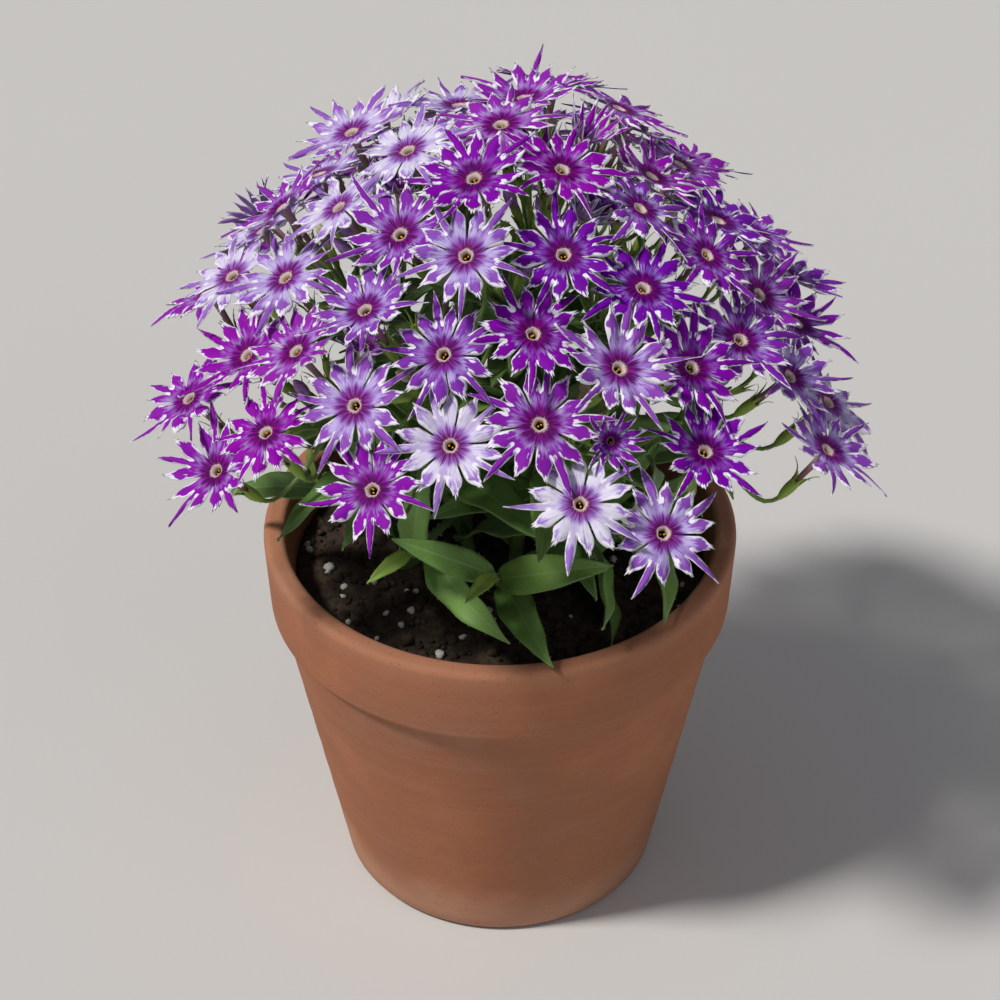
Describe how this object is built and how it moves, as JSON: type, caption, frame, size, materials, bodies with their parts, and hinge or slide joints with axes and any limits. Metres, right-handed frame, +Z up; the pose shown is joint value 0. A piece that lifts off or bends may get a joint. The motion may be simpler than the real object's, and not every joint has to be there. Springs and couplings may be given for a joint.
{
  "type": "potted phlox plant",
  "caption": "Bushy star-flowered annual phlox in a plain clay pot: a dome of fringed violet blooms on forked leafy stems that stand in potting soil.",
  "frame": {"origin": "centre of the pot's underside, on the surface that it stands on", "axes": "+Z up, from the pot's foot to the flowers; +X and +Y lie in the surface and mark no feature of the plant"},
  "size_m": [0.1918, 0.1872, 0.2464],
  "materials": {
    "fired_clay": "unglazed fired clay, matt",
    "potting_soil": "dark crumbly potting soil, matt",
    "leaf_green": "soft hairy leaf and stem, satin",
    "petal_magenta": "violet-magenta petals with white edges, satin",
    "petal_lavender": "pale lavender petals with white edges, satin",
    "petal_purple": "deep purple petals with white edges, satin"
  },
  "bodies": {
    "root": {"pot": "fired_clay", "soil": "potting_soil", "leafy_stem_01": "leaf_green", "leafy_stem_02": "leaf_green", "leafy_stem_03": "leaf_green", "leafy_stem_04": "leaf_green", "leafy_stem_05": "leaf_green", "flower_head_01": "petal_magenta", "flower_head_02": "petal_lavender", "flower_head_03": "petal_purple", "flower_head_04": "petal_magenta", "flower_head_05": "petal_lavender", "flower_head_06": "petal_purple", "flower_head_07": "petal_magenta", "flower_head_08": "petal_lavender", "flower_head_09": "petal_purple", "flower_head_10": "petal_magenta", "flower_head_11": "petal_lavender", "flower_head_12": "petal_purple", "flower_head_13": "petal_magenta", "flower_head_14": "petal_lavender"}
  },
  "joints": []
}
